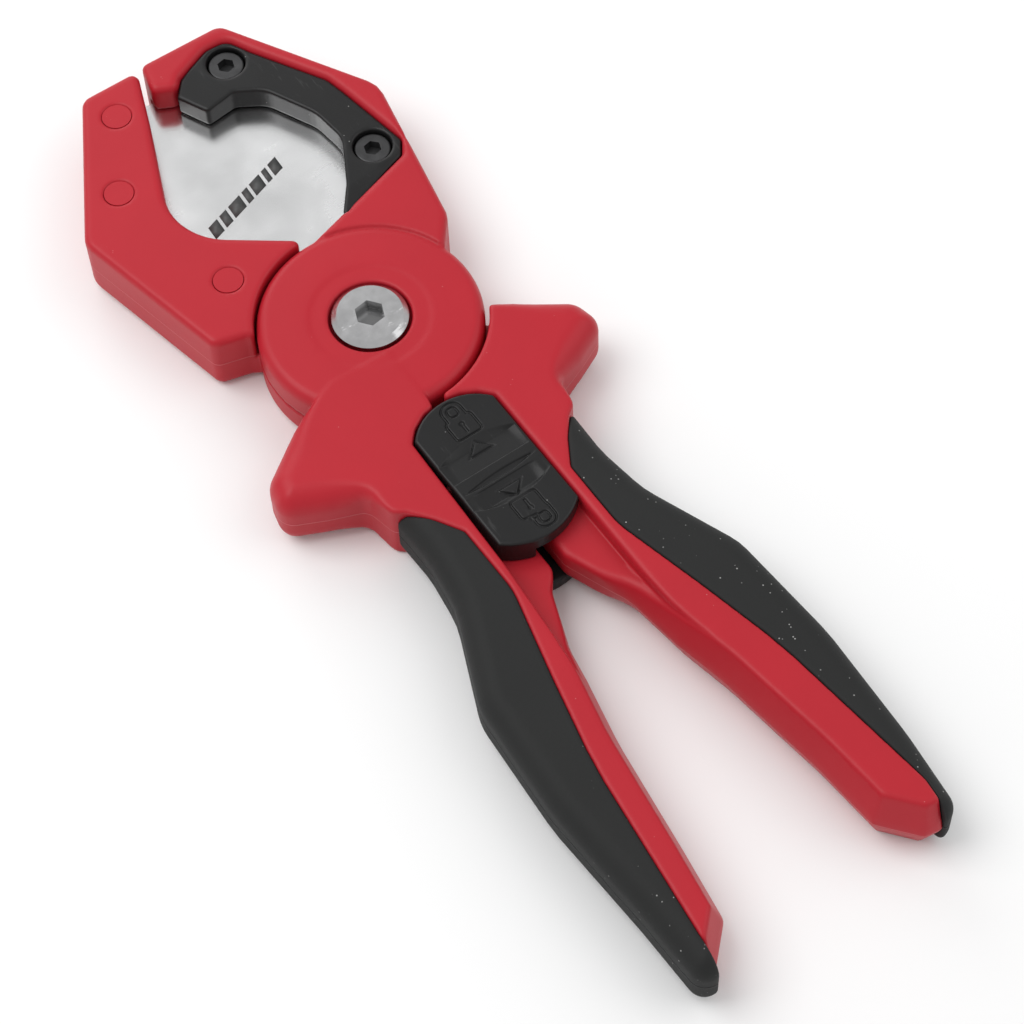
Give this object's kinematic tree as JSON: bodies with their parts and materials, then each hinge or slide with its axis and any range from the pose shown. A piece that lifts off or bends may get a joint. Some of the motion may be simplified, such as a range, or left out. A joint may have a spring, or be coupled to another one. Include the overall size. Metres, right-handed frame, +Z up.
{
  "type": "pipe cutter",
  "caption": "Pliers-type cutter for plastic pipe and hose: two crossed levers with soft grips, a flat blade closing into a curved anvil, a spring pivot and a sliding lock.",
  "frame": {"origin": "on the pivot axis, at the rear face of the pivot, in the plane that the tool rests on", "axes": "+Y towards the jaws, +X towards the anvil jaw's side, +Z up out of the front face"},
  "size_m": [0.069, 0.213, 0.0148],
  "materials": {
    "red_nylon": "satin glass-filled nylon",
    "soft_grip": "matte over-moulded elastomer",
    "black_nylon": "satin moulded nylon",
    "blade_steel": "bright ground steel",
    "zinc_steel": "zinc plated",
    "black_screw": "black oxide",
    "spring_steel": "drawn wire",
    "washer_nylon": "natural nylon"
  },
  "bodies": {
    "anvil_side": {"anvil_lever": "red_nylon", "anvil_lever_grip": "soft_grip", "front_anvil": "black_nylon", "rear_anvil": "black_nylon", "anvil_screws": "black_screw", "anvil_nuts": "zinc_steel", "pivot_bolt": "zinc_steel", "pivot_barrel": "zinc_steel", "front_washer": "zinc_steel", "rear_washer": "zinc_steel", "thrust_washer": "washer_nylon", "return_spring": "spring_steel"},
    "blade_side": {"blade_lever": "red_nylon", "blade_lever_grip": "soft_grip", "blade": "blade_steel", "blade_pegs": "red_nylon"},
    "lock": {"front_lock_slide": "black_nylon", "rear_lock_slide": "black_nylon", "lock_ball": "zinc_steel", "lock_ball_spring": "spring_steel"}
  },
  "joints": [
    {"name": "pivot", "type": "hinge", "parent": "anvil_side", "child": "blade_side", "pos_m": [0, 0, 0.007], "axis": [0, 0, 1], "range_deg": [0, 42]},
    {"name": "lock_slide", "type": "slide", "parent": "anvil_side", "child": "lock", "axis": [0, -1, 0], "range_m": [0, 0.008]}
  ]
}
